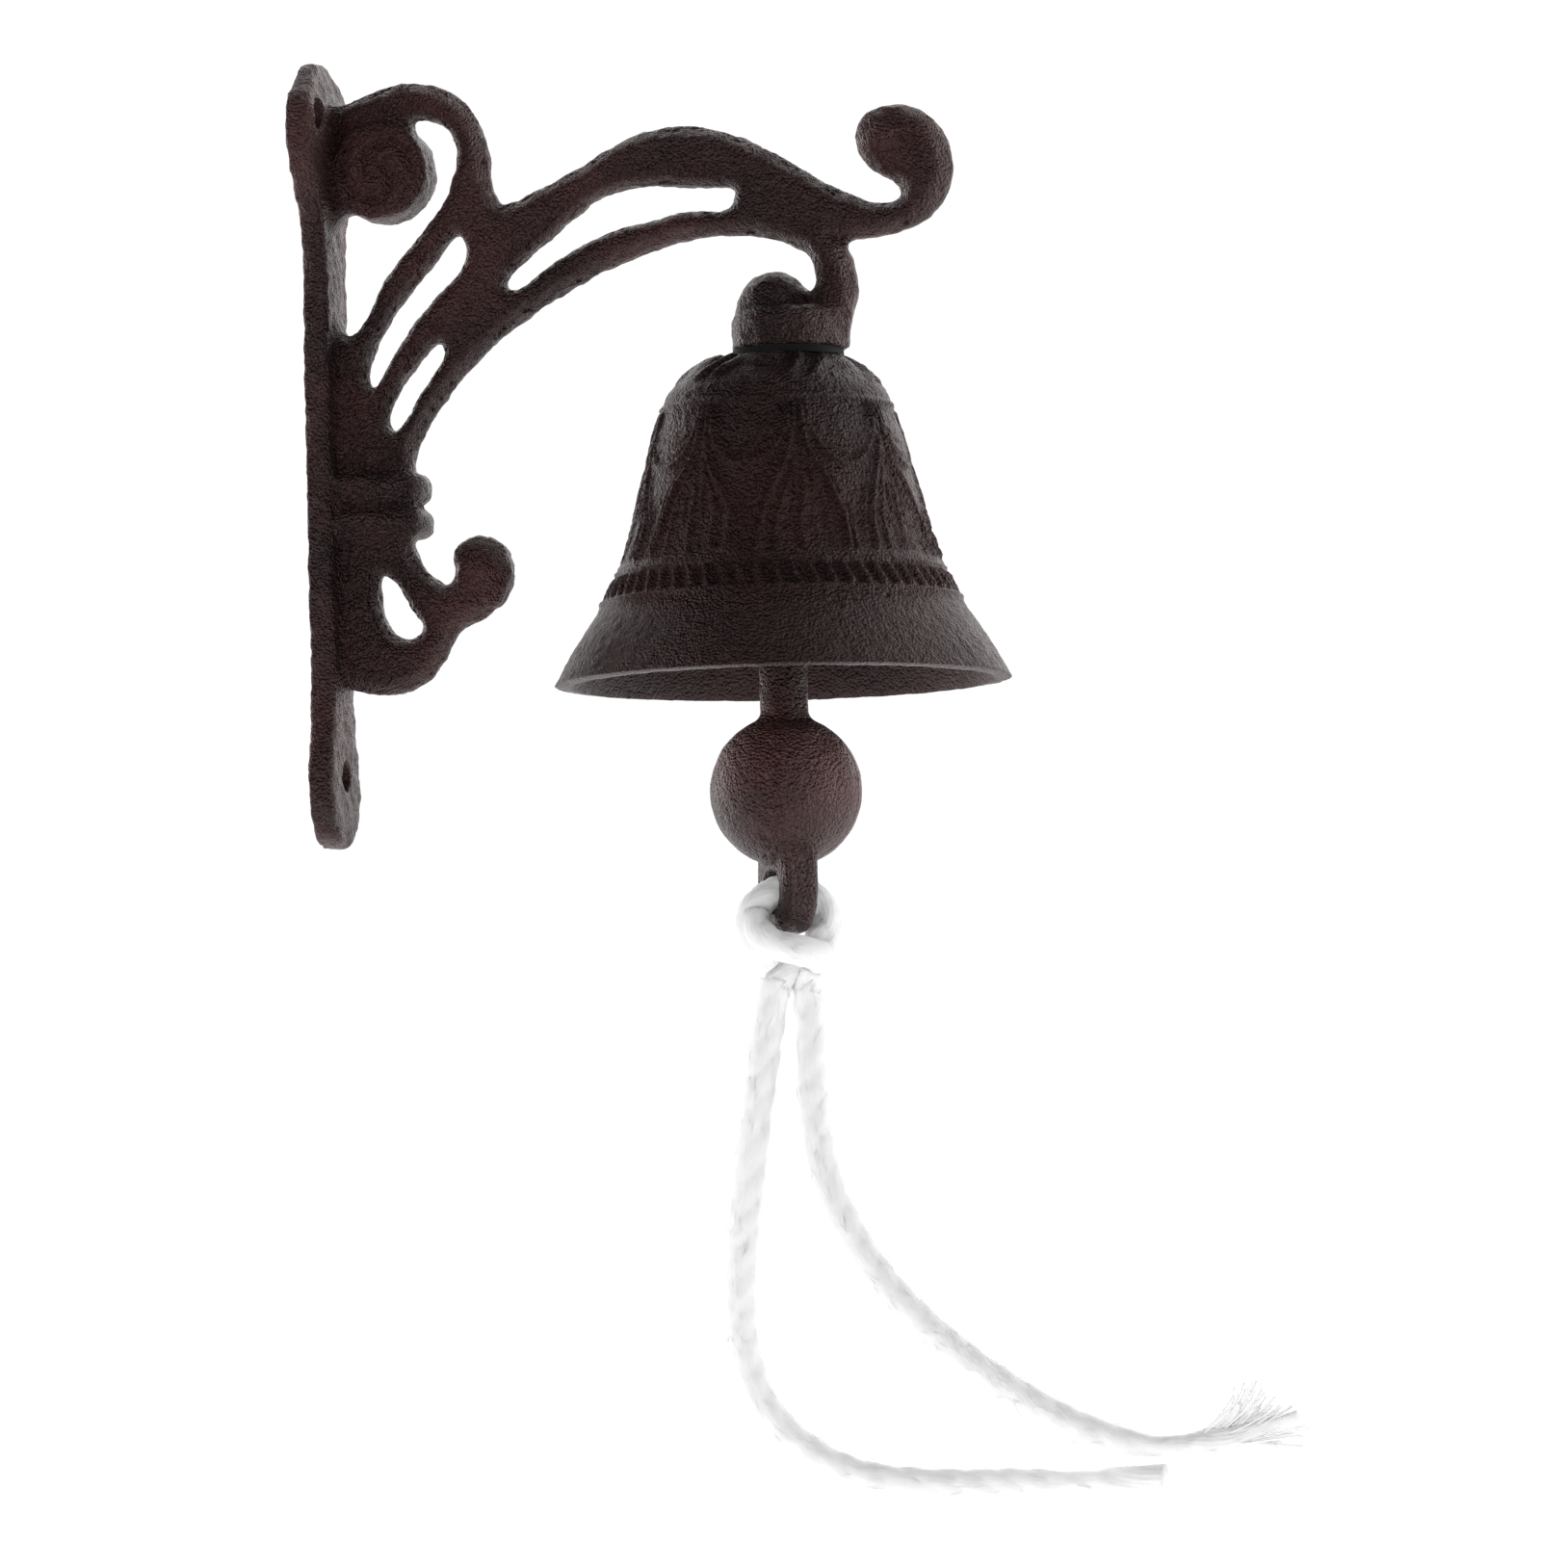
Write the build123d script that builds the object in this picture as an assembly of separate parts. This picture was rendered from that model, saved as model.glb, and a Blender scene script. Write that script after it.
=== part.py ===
from build123d import *
import math
import os

# A cast-iron wall bell: a scroll bracket, a bell clamped under its lug, a clapper and a pull rope.
# Millimetres. The origin is on the wall face, midway between the two upper screw holes.
# +X points out from the wall, +Z points up, and Y runs across the bracket.

# Back plate
plate_thickness = 5.4
plate_edge_round = 1.2
strip_half_width = 8.6
upper_end_half_width = 20.0
upper_slope_height = 10.0
upper_slope_depth = 2.4
lower_end_half_width = 11.5
plate_top = 12.5
plate_bottom = -153.5
screw_hole_radius = 3.3
upper_screw_spacing = 24.0
lower_screw_drop = 138.5

# Scrollwork
scroll_thickness = 9.0
scroll_edge_bevel = 2.3
window_edge_bevel = 1.6
tail_ball_radius = 6.3
tail_ball_reach = 36.0
tail_ball_drop = 96.0
tip_ball_radius = 6.2
tip_ball_overhang = 24.7
tip_ball_rise = 44.2
rosette_radius = 10.5
rosette_reach = 16.0
rosette_drop = 11.3
rosette_thickness = 13.0
rosette_rim = 2.4
rosette_groove_radius = 7.4
rosette_groove_width = 1.6
collar_reach = 24.6
collar_thickness = 15.0
collar_bead_height = 6.4
collar_bead_round = 2.8
collar_pitch = 7.4
collar_drop = 81.6

# Lug under the arm
lug_radius = 12.3
lug_offset = 3.2
lug_skirt = 8.6
lug_top_round = 3.6
lug_curl_radius = 8.2
lug_curl_offset = 3.1
lug_curl_height = 8.2

# Bell
bell_reach = 99.5
bell_drop = 54.6
bell_height = 68.0
crown_thickness = 4.4
bell_wall = 3.4
ring_radius = 0.9
rib_count = 60
rib_radius = 0.95
rib_slant = 5.0
rib_sink = 0.3
rib_head = 46.0
rib_foot = 50.2
drape_count = 8
drape_turn = -69.0
fold_radius = 1.1
fold_head = 12.5
fold_knee = 22.0
fold_foot = 43.0
fold_spread = 11.0
swag_radius = 1.0
swag_gap = 4.5
swag_sag = 13.5

# Hardware in the crown
spacer_radius = 11.6
spacer_thickness = 1.6
spacer_hole_radius = 6.0
spacer_shift = 2.7
bolt_radius = 3.0
thread_clearance = 0.05
hole_clearance = 0.25
crown_washer_radius = 8.0
crown_washer_thickness = 1.2
nut_across_flats = 10.0
nut_height = 5.0
nut_corner_bevel = 0.7
bolt_grip = 10.0
bolt_tip_room = 1.0
eye_wire_radius = 1.5
eye_ring_radius = 5.5
eye_neck = 1.2

# Link and clapper
link_wire_radius = 1.25
link_pitch = 9.0
link_play = 0.3
upper_eye_wire_radius = 1.5
upper_eye_ring_radius = 4.6
stem_radius = 5.0
stem_neck_radius = 2.6
stem_taper = 15.0
ball_radius = 15.8
ball_below_link = 57.1
lower_eye_turn = 31.0
lower_eye_spacing = 14.0
lower_eye_leg_width = 5.0
lower_eye_leg_depth = 8.0
lower_eye_hole_height = 8.0
eye_edge_round = 2.2
eye_throat = 1.0
hole_edge_round = 1.0
throat_round = 2.5

# Pull rope
rope_diameter = 6.5
rope_gap = 0.4
knot_width = 17.0
knot_height = 10.0

os.makedirs("parts", exist_ok=True)


def save(shape, name):
    """Write one sub-part."""
    shape.label = name
    export_step(shape, "parts/" + name + ".step")
    print(name, "volume", round(shape.volume, 1), "solids", len(shape.solids()))


# Places that follow from the sizes
crown_top = -bell_drop
lug_bottom = crown_top + spacer_thickness
rim_level = crown_top - bell_height
crown_inside = crown_top - crown_thickness
lug_axis = bell_reach + lug_offset
nut_bottom = crown_inside - crown_washer_thickness - nut_height
eye_level = nut_bottom - eye_neck - eye_ring_radius - eye_wire_radius
link_level = eye_level - eye_ring_radius
clapper_level = link_level - link_pitch
ball_level = clapper_level - ball_below_link
eye_foot = ball_level - ball_radius - lower_eye_hole_height - lower_eye_leg_width - eye_throat

# The scrolls are drawn for a bell at this place. Their root is inside the plate.
drawn_reach = 99.5
drawn_drop = 54.6
arm_root = 40.0
arm_end = 88.0
spine = 0.8


def on_arm(points):
    """The points (x, z) of the arm, which reach out and drop with the bell while the root stays put."""
    moved = []
    for x, z in points:
        share = min(1.0, max(0.0, (x - arm_root) / (arm_end - arm_root)))
        moved.append((x + share * (bell_reach - drawn_reach), z - share * (bell_drop - drawn_drop)))
    return moved


def curve(points):
    """A smooth curve in the plane of the scrolls, through points given as (x, z)."""
    return Spline(*on_arm(points)).edge()


def closed(points):
    """A closed smooth outline through points given as (x, z)."""
    return Face(Wire([Spline(*points, periodic=True).edge()]))


def scroll_outline():
    """The outline of the scrollwork from the top scroll round the arm and down to the tail."""
    lug_left = (drawn_reach + lug_offset - lug_radius, spacer_thickness - drawn_drop)
    lug_right = (drawn_reach + lug_offset + lug_radius, spacer_thickness - drawn_drop)
    top = curve([(spine, 3.2), (10.4, 4.3), (16.7, 6.6), (23.0, 7.3), (29.3, 5.7), (34.4, 2.0), (37.6, -3.5),
                 (39.0, -10.0), (39.6, -16.0), (41.9, -19.9)])
    arm_top = curve([(41.9, -19.9), (47.5, -17.8), (54.5, -14.5), (62.2, -10.6), (69.0, -6.9), (76.0, -5.3),
                     (84.0, -5.3), (91.8, -7.4), (99.6, -11.3), (107.5, -16.2), (114.6, -20.4),
                     (121.0, -22.9), (126.6, -22.8)])
    tip = curve([(126.6, -22.8), (127.4, -20.8), (125.3, -18.8), (121.6, -16.4), (118.4, -12.8),
                 (117.9, -8.2), (120.4, -4.6), (124.8, -2.9), (130.0, -3.6), (134.4, -6.6), (137.2, -11.4),
                 (138.1, -17.0), (136.6, -22.2), (133.0, -26.4), (127.8, -29.1), (121.5, -30.2),
                 (114.7, -31.1)])
    hook = curve([(114.7, -31.1), (116.5, -35.5), (117.2, -40.3), (116.4, -45.5), lug_right])
    base = Line(*on_arm([lug_right, lug_left])).edge()
    curl = curve([lug_left, (90.9, -48.5), (91.4, -44.8), (93.2, -40.9), (96.0, -37.9), (99.2, -36.9),
                  (102.4, -38.1), (104.9, -40.6), (107.0, -41.6), (108.7, -39.8), (108.3, -35.4),
                  (104.6, -31.7)])
    underside = curve([(104.6, -31.7), (98.5, -29.2), (91.0, -28.3), (82.5, -28.8), (74.2, -30.6),
                       (65.9, -33.5), (57.5, -37.2), (49.1, -42.0), (40.8, -47.6), (34.0, -53.8),
                       (27.9, -60.8), (23.5, -67.5), (20.9, -74.5)])
    waist = Line((20.9, -74.5), (20.6, -89.5)).edge()
    tail = curve([(20.6, -89.5), (22.5, -94.2), (25.8, -98.0), (29.0, -99.2), (30.0, -96.6), (29.7, -93.6),
                  (31.6, -90.4), (35.6, -89.0), (39.9, -90.5), (42.1, -94.6), (41.6, -100.1), (38.6, -104.4),
                  (34.3, -107.0), (30.4, -109.0), (28.2, -113.0), (25.2, -117.4), (20.6, -120.6),
                  (14.5, -121.6), (8.5, -120.6), (spine, -118.2)])
    back = Line((spine, -118.2), (spine, 3.2)).edge()
    return Face(Wire([top, arm_top, tip, hook, base, curl, underside, waist, tail, back]))


def scroll_windows():
    """The openings through the scrollwork."""
    shade = [(22.6, -0.3), (28.0, -1.2), (31.7, -4.7), (32.2, -9.5), (31.0, -14.2), (28.9, -18.8),
             (25.6, -23.4), (21.7, -27.6), (17.9, -31.8), (14.8, -36.4), (11.8, -42.6), (8.2, -46.0),
             (6.0, -42.8), (6.0, -33.0), (6.1, -22.0), (9.0, -19.8), (12.8, -21.4), (17.0, -21.6),
             (21.4, -19.6), (24.8, -16.0), (26.1, -11.5), (25.4, -7.0), (23.2, -3.6)]
    long_slit = [(33.2, -25.8), (34.0, -28.6), (32.4, -32.8), (27.9, -37.6), (22.9, -43.0), (18.5, -48.9),
                 (15.5, -54.3), (12.9, -57.3), (12.0, -54.4), (13.5, -48.7), (17.3, -42.1), (22.7, -35.5),
                 (27.9, -29.5)]
    arm_slot = [(41.7, -35.5), (46.8, -30.9), (53.2, -26.0), (59.6, -21.0), (65.2, -18.0), (72.0, -17.1),
                (79.0, -17.4), (86.0, -18.0), (91.9, -19.4), (91.5, -21.7), (83.5, -23.1), (75.5, -24.3),
                (67.5, -25.9), (60.0, -28.4), (53.0, -32.2), (47.4, -36.0), (43.1, -37.5)]
    short_slit = [(28.4, -48.4), (28.8, -50.8), (26.0, -54.8), (22.2, -60.6), (19.4, -64.8),
                  (16.9, -66.3), (16.2, -63.6), (17.7, -59.1), (20.7, -54.4), (24.6, -49.9)]
    drop = [(14.7, -96.1), (17.0, -98.2), (19.1, -101.6), (21.5, -105.1), (23.1, -108.3), (20.6, -110.1),
            (17.0, -109.4), (14.6, -105.8), (13.5, -100.8)]
    return [closed(on_arm(points)) for points in (shade, long_slit, arm_slot, short_slit, drop)]


def scrollwork():
    """The scrolls as one web of iron with bevelled edges."""
    outline = scroll_outline()
    for window in scroll_windows():
        outline = outline - window
    body = extrude(Plane.XZ * outline, scroll_thickness / 2, both=True)
    sides = [body.faces().sort_by(Axis.Y)[0], body.faces().sort_by(Axis.Y)[-1]]
    body = chamfer([edge for side in sides for edge in side.outer_wire().edges()], scroll_edge_bevel)
    sides = [body.faces().sort_by(Axis.Y)[0], body.faces().sort_by(Axis.Y)[-1]]
    window_edges = [edge for side in sides for wire in side.inner_wires() for edge in wire.edges()]
    return chamfer(window_edges, window_edge_bevel)


def back_plate():
    """The plate against the wall, wide and sloped at its upper end, with its front edge rounded."""
    upper = upper_end_half_width
    lower = lower_end_half_width
    strip = strip_half_width
    top = plate_top
    foot = plate_bottom
    half = [(0.38 * upper, top - 1.5), (0.66 * upper, top - 5.5), (0.88 * upper, top - 9.0),
            (0.98 * upper, top - 12.4), (upper, top - 17.0), (0.93 * upper, top - 22.5),
            (0.72 * upper, top - 28.0), (strip + 1.9, top - 33.0), (strip + 0.1, top - 39.5),
            (strip, top - 57.5), (strip, top - 87.5), (strip, foot + 48.5), (strip + 0.1, foot + 31.0),
            (strip + 1.3, foot + 23.0), (lower, foot + 17.5), (lower + 0.2, foot + 11.0),
            (0.8 * lower, foot + 4.5), (0.42 * lower, foot + 0.9)]
    other_half = [(-across, height) for across, height in reversed(half)]
    outline = closed([(0, top)] + half + [(0, foot)] + other_half)
    plate = extrude(Plane.YZ * outline, plate_thickness, dir=(1, 0, 0))
    plate = fillet(plate.faces().sort_by(Axis.X)[-1].edges(), plate_edge_round)
    wedge = Polygon((plate_thickness, top - upper_slope_height),
                    (plate_thickness - 2 * upper_slope_depth, top + upper_slope_height),
                    (plate_thickness + upper_slope_depth, top + upper_slope_height), align=None)
    plate = plate - extrude(Plane.XZ * wedge, upper, both=True)
    screws = [(upper_screw_spacing / 2, 0), (-upper_screw_spacing / 2, 0), (0, -lower_screw_drop)]
    for across, height in screws:
        place = Plane(origin=(0, across, height), z_dir=(1, 0, 0))
        plate = plate - extrude(place * Circle(screw_hole_radius), plate_thickness)
    return plate


def rosette():
    """The disc in the top scroll: a rounded rim, a groove and a raised centre on each face."""
    face_level = rosette_thickness / 2
    blank = Plane.XZ * Circle(rosette_radius)
    disc = extrude(blank, face_level, both=True)
    rims = disc.edges().filter_by(GeomType.CIRCLE)
    disc = fillet(rims, rosette_rim)
    for side in (1, -1):
        place = Plane(origin=(0, side * face_level, 0), z_dir=(0, 1, 0))
        disc = disc - place * Torus(rosette_groove_radius, rosette_groove_width / 2)
    return Pos(rosette_reach, 0, -rosette_drop) * disc


def collar():
    """Two beads that bind the scrolls to the plate above the tail."""
    width = collar_reach - spine
    bead = extrude(RectangleRounded(width, collar_thickness, collar_thickness / 3), collar_bead_height)
    bead = fillet(bead.faces().sort_by(Axis.Z)[0].edges() + bead.faces().sort_by(Axis.Z)[-1].edges(),
                  collar_bead_round)
    middle = spine + width / 2
    return [Pos(middle, 0, -collar_drop) * bead, Pos(middle, 0, -collar_drop - collar_pitch) * bead]


def lug():
    """The round foot of the arm that the bell hangs from, with the arm's curl resting on it."""
    skirt = Cylinder(lug_radius, lug_skirt, align=(Align.CENTER, Align.CENTER, Align.MIN))
    skirt = fillet(skirt.edges().filter_by(GeomType.CIRCLE).sort_by(Axis.Z)[-1], lug_top_round)
    curl = Pos(-lug_curl_offset, 0, lug_curl_height) * Sphere(lug_curl_radius)
    return Pos(lug_axis, 0, lug_bottom) * (skirt + curl)


def bracket():
    """The one casting that holds everything: plate, scrolls, rosette, collar, balls and lug."""
    body = back_plate() + scrollwork()
    body = body + rosette()
    for bead in collar():
        body = body + bead
    body = body + Pos(tail_ball_reach, 0, -tail_ball_drop) * Sphere(tail_ball_radius)
    body = body + Pos(bell_reach + tip_ball_overhang, 0, tip_ball_rise - bell_drop) * Sphere(tip_ball_radius)
    body = body + lug()
    bolt_hole = Cylinder(bolt_radius + thread_clearance, bolt_grip + bolt_tip_room,
                         align=(Align.CENTER, Align.CENTER, Align.MIN))
    return body - Pos(bell_reach, 0, lug_bottom) * bolt_hole


# The section of the bell as drawn, from its crown to the lower ring, and its rings: (radius, depth)
drawn_height = 68.0
drawn_rim = 47.6
shoulder = [(12.5, 0.0), (15.4, 0.9), (19.0, 3.5), (21.8, 6.1), (23.3, 8.6)]
side = [(23.3, 8.6), (24.4, 12.0), (26.5, 19.7), (28.6, 27.8), (30.8, 35.9), (33.6, 43.9), (37.4, 51.0)]
ring_places = [(24.0, 10.6), (34.4, 45.2), (37.4, 51.0)]


def at(radius, depth):
    """A point of the bell's section, its depth in step with the bell's height."""
    return (radius, crown_top - depth * bell_height / drawn_height)


def on_side(turn, depth, sink=0.0):
    """A point on the bell's side, or a little under it, at a turn about its axis and a depth."""
    for (near, above), (far, below) in zip(side, side[1:]):
        if above <= depth <= below:
            radius = near + (far - near) * (depth - above) / (below - above)
    return Vector(radius - sink, 0, at(radius, depth)[1]).rotate(Axis.Z, turn)


def bar(start, end, radius):
    """A straight round bar."""
    return extrude(Plane(origin=start, z_dir=end - start) * Circle(radius), (end - start).length)


def bell_blank():
    """The bell, turned about its axis, before its ornament."""
    bore = bolt_radius + hole_clearance
    wall = bell_wall
    lip = Spline(at(37.4, 51.0), at(40.0, 54.8), at(43.2, 60.0), at(drawn_rim, drawn_height))
    inside = Spline(at(drawn_rim - wall, drawn_height), at(42.6 - wall, 61.2), at(39.2 - wall, 55.6),
                    at(33.6 - wall, 44.8), at(30.8 - wall, 36.6), at(26.5 - wall, 20.2),
                    at(24.0 - wall, 11.6), (18.0, crown_inside - 1.4), (14.0, crown_inside))
    half = Wire([Line((bore, crown_top), at(*shoulder[0])).edge(),
                 Spline(*[at(*point) for point in shoulder]).edge(),
                 Spline(*[at(*point) for point in side]).edge(), lip.edge(),
                 Line(at(drawn_rim, drawn_height), at(drawn_rim - wall, drawn_height)).edge(), inside.edge(),
                 Line((14.0, crown_inside), (bore, crown_inside)).edge(),
                 Line((bore, crown_inside), (bore, crown_top)).edge()])
    return revolve(Plane.XZ * Face(half), Axis.Z)


def drapery():
    """Swags between splayed pairs of folds, repeated round the bell's side."""
    pieces = []
    pitch = 360.0 / drape_count
    for index in range(drape_count):
        turn = drape_turn + pitch * index
        for lean in (-1, 1):
            top = on_side(turn + 0.15 * fold_spread * lean, fold_head)
            knee = on_side(turn + 0.27 * fold_spread * lean, fold_knee)
            foot = on_side(turn + fold_spread * lean, fold_foot)
            pieces.append(bar(top, knee, fold_radius))
            pieces.append(bar(knee, foot, fold_radius))
            pieces.append(Pos(knee) * Sphere(fold_radius))
        hang = ThreePointArc(on_side(turn + swag_gap, fold_head),
                             on_side(turn + pitch / 2, fold_head + swag_sag),
                             on_side(turn + pitch - swag_gap, fold_head))
        pieces.append(sweep(Plane(origin=hang @ 0, z_dir=hang % 0) * Circle(swag_radius), path=hang))
    return pieces


def bell():
    """The bell with its drapery, its raised rings and its band of slanted ribs."""
    body = bell_blank() + drapery()
    ribs = []
    for index in range(rib_count):
        turn = 360.0 * index / rib_count
        foot = on_side(turn, rib_foot, rib_sink)
        head = on_side(turn + rib_slant, rib_head, rib_sink)
        ribs.append(bar(foot, head, rib_radius))
    body = body + ribs
    for radius, depth in ring_places:
        body = body + Pos(0, 0, at(radius, depth)[1]) * Torus(radius, ring_radius)
    return Pos(bell_reach, 0, 0) * body


def spacer_washer():
    """The rubber washer between the lug and the crown, loose on the bolt and set over the lug."""
    ring = Circle(spacer_radius) - Circle(spacer_hole_radius)
    return Pos(bell_reach + spacer_shift, 0, crown_top) * extrude(ring, spacer_thickness)


def crown_washer():
    """The steel washer under the crown."""
    ring = Circle(crown_washer_radius) - Circle(bolt_radius + hole_clearance)
    return Pos(bell_reach, 0, crown_inside - crown_washer_thickness) * extrude(ring, crown_washer_thickness)


def crown_nut():
    """The hexagon nut that clamps the bell, with its corners turned off."""
    corner_radius = nut_across_flats / 2 / math.cos(math.pi / 6)
    hexagon = extrude(RegularPolygon(nut_across_flats / 2, 6, major_radius=False), nut_height)
    turned = Cylinder(corner_radius, nut_height, align=(Align.CENTER, Align.CENTER, Align.MIN))
    turned = chamfer(turned.edges().filter_by(GeomType.CIRCLE), nut_corner_bevel)
    blank = (hexagon & turned) - extrude(Circle(bolt_radius + thread_clearance), nut_height)
    return Pos(bell_reach, 0, nut_bottom) * blank


def eye_bolt():
    """The bolt through the crown, with an eye at its lower end."""
    shank_bottom = eye_level + eye_ring_radius + eye_wire_radius / 4
    shank_length = lug_bottom + bolt_grip - shank_bottom
    shank = Cylinder(bolt_radius, shank_length, align=(Align.CENTER, Align.CENTER, Align.MIN))
    shank = chamfer(shank.edges().sort_by(Axis.Z)[-1], bolt_radius / 4)
    eye = Rot(90, 0, 0) * Torus(eye_ring_radius, eye_wire_radius)
    return Pos(bell_reach, 0, 0) * (Pos(0, 0, shank_bottom) * shank + Pos(0, 0, eye_level) * eye)


def hook_link():
    """The closed wire link between the bolt's eye and the clapper's upper eye."""
    bend = eye_wire_radius + link_play + link_wire_radius
    straight = link_pitch - bend
    path = Wire([Line((bend, 0), (bend, -straight)).edge(),
                 ThreePointArc((bend, -straight), (0, -straight - bend), (-bend, -straight)).edge(),
                 Line((-bend, -straight), (-bend, 0)).edge(),
                 ThreePointArc((-bend, 0), (0, bend), (bend, 0)).edge()])
    path = Plane.YZ * path
    section = Plane(origin=(0, bend, 0), z_dir=(0, 0, 1)) * Circle(link_wire_radius)
    return Pos(bell_reach, 0, link_level) * sweep(section, path=path)


def lower_eye():
    """The loop under the ball that the rope goes through, drawn in its own plane and turned to face it."""
    half = (lower_eye_spacing + lower_eye_leg_width) / 2
    foot = eye_foot - ball_level
    root = -0.6 * ball_radius
    outline = Wire([Line((-half, root), (-half, foot + half)).edge(),
                    ThreePointArc((-half, foot + half), (0, foot), (half, foot + half)).edge(),
                    Line((half, foot + half), (half, root)).edge(),
                    Line((half, root), (-half, root)).edge()])
    blank = extrude(Plane.XZ * Face(outline), lower_eye_leg_depth / 2, both=True)
    blank = fillet(blank.edges().filter_by(Plane.XZ), eye_edge_round)
    hole_height = lower_eye_hole_height
    hole_width = lower_eye_spacing - lower_eye_leg_width
    hole_middle = foot + lower_eye_leg_width + hole_height / 2
    hole = extrude(Plane.XZ * RectangleRounded(hole_width, hole_height, hole_height * 0.45),
                   lower_eye_leg_depth, both=True)
    body = blank - Pos(0, 0, hole_middle) * hole
    body = fillet(new_edges(blank, Pos(0, 0, hole_middle) * hole, combined=body), hole_edge_round)
    return Rot(0, 0, lower_eye_turn + 90) * body


def clapper():
    """The clapper, one casting: upper eye, tapered stem, ball and lower eye."""
    ring_level = clapper_level + link_wire_radius + link_play + upper_eye_wire_radius - upper_eye_ring_radius
    upper_eye = Pos(0, 0, ring_level) * Rot(90, 0, 0) * Torus(upper_eye_ring_radius, upper_eye_wire_radius)
    top = ring_level - upper_eye_ring_radius - upper_eye_wire_radius / 3
    stem_half = Wire([Line((0, top), (stem_neck_radius, top)).edge(),
                      Spline((stem_neck_radius, top), (0.8 * stem_radius, top - 0.47 * stem_taper),
                             (stem_radius, top - stem_taper), tangents=((0, -1), (0, -1))).edge(),
                      Line((stem_radius, top - stem_taper), (stem_radius, ball_level)).edge(),
                      Line((stem_radius, ball_level), (0, ball_level)).edge(),
                      Line((0, ball_level), (0, top)).edge()])
    stem = revolve(Plane.XZ * Face(stem_half), Axis.Z)
    ball = Pos(0, 0, ball_level) * Sphere(ball_radius)
    body = stem + ball
    ball_top = ball_level + ball_radius
    throat = body.edges().filter_by_position(Axis.Z, ball_top - 0.1 * ball_radius, ball_top)
    body = fillet(throat.filter_by(GeomType.CIRCLE), throat_round)
    body = body + upper_eye + Pos(0, 0, ball_level) * lower_eye()
    return Pos(bell_reach, 0, 0) * body


def rope_route(points):
    """A rope's centre line: straight runs joined by the largest arcs that the runs allow."""
    corners = [Vector(*point) for point in points]
    radii = []
    for before, corner, after in zip(corners, corners[1:], corners[2:]):
        turn = (corner - before).get_angle(after - corner)
        shorter = min((corner - before).length, (after - corner).length)
        radii.append(0.45 * shorter / math.tan(math.radians(turn / 2)))
    print("rope radii", [round(radius, 1) for radius in radii])
    return FilletPolyline(*corners, radius=radii)


def rope(points):
    """A plain round rope along its route."""
    path = rope_route(points)
    start = Plane(origin=path @ 0, z_dir=path % 0)
    tube = sweep(start * Circle(rope_diameter / 2), path=path)
    expected = path.length * math.pi * rope_diameter ** 2 / 4
    print("rope length", round(path.length, 1), "volume ratio", round(tube.volume / expected, 4))
    return tube


def rope_loop():
    """The rope through the lower eye and down each side of it to the knot."""
    route = [(-4.2, -181.5), (-8.6, -175.8), (-8.3, -169.6), (-3.4, -165.7), (3.4, -165.7), (8.3, -169.6),
             (8.6, -175.8), (4.2, -181.5)]
    turn = math.radians(lower_eye_turn)
    return rope([(bell_reach + s * math.cos(turn), s * math.sin(turn), z) for s, z in route])


def rope_knot():
    """The half knot under the eye, as one plain solid."""
    lump = Cylinder(knot_width / 2, knot_height)
    lump = fillet(lump.edges().filter_by(GeomType.CIRCLE), 0.45 * knot_height)
    return Pos(bell_reach, 0, eye_foot - rope_gap - knot_height / 2) * lump


left_tail = [(96.7, -2.0, -184.2), (95.2, -2.4, -193.5), (93.0, -2.4, -206.0), (90.6, -2.2, -222.0),
             (88.2, -1.8, -239.0), (87.2, -1.2, -255.0), (89.6, -0.4, -269.5), (98.0, 0.6, -280.6),
             (111.5, 1.8, -287.6), (128.0, 3.2, -289.3), (145.0, 3.0, -289.25), (161.0, 1.2, -289.25),
             (175.5, 0.2, -289.25)]
right_tail = [(102.6, 2.0, -184.2), (103.3, 1.2, -195.0), (103.4, 0.2, -209.0), (105.4, -0.4, -224.5),
              (111.6, -0.8, -239.0), (121.6, -1.2, -252.0), (133.8, -1.6, -263.0), (147.0, -1.4, -272.4),
              (159.6, -0.6, -279.2), (170.8, 0.3, -282.3), (182.0, 0.8, -282.4), (192.8, 0.2, -280.2),
              (203.2, -0.6, -276.6)]

save(spacer_washer(), "spacer_washer")
save(crown_washer(), "crown_washer")
save(crown_nut(), "crown_nut")
save(eye_bolt(), "eye_bolt")
save(hook_link(), "hook_link")
save(clapper(), "clapper")
save(rope_loop(), "rope_loop")
save(rope_knot(), "rope_knot")
save(rope(left_tail), "rope_left_tail")
save(rope(right_tail), "rope_right_tail")
save(bell(), "bell")
save(bracket(), "bracket")
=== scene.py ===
import math
import random

import bpy
import numpy as np
from mathutils import Matrix, Vector, kdtree, noise


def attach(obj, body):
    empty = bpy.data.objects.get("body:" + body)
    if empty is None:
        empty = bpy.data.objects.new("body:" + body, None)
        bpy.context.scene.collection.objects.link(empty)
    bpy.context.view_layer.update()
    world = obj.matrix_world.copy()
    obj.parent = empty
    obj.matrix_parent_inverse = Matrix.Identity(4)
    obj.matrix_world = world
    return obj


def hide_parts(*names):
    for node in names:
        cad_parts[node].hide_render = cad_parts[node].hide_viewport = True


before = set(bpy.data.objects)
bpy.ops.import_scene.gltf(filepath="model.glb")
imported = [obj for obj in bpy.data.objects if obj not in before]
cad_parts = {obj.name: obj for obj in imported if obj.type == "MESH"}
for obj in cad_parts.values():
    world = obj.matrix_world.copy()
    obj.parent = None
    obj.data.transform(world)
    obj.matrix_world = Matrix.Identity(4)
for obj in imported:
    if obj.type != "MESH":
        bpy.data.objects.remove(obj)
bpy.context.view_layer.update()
bpy.ops.object.select_all(action="DESELECT")

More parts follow.
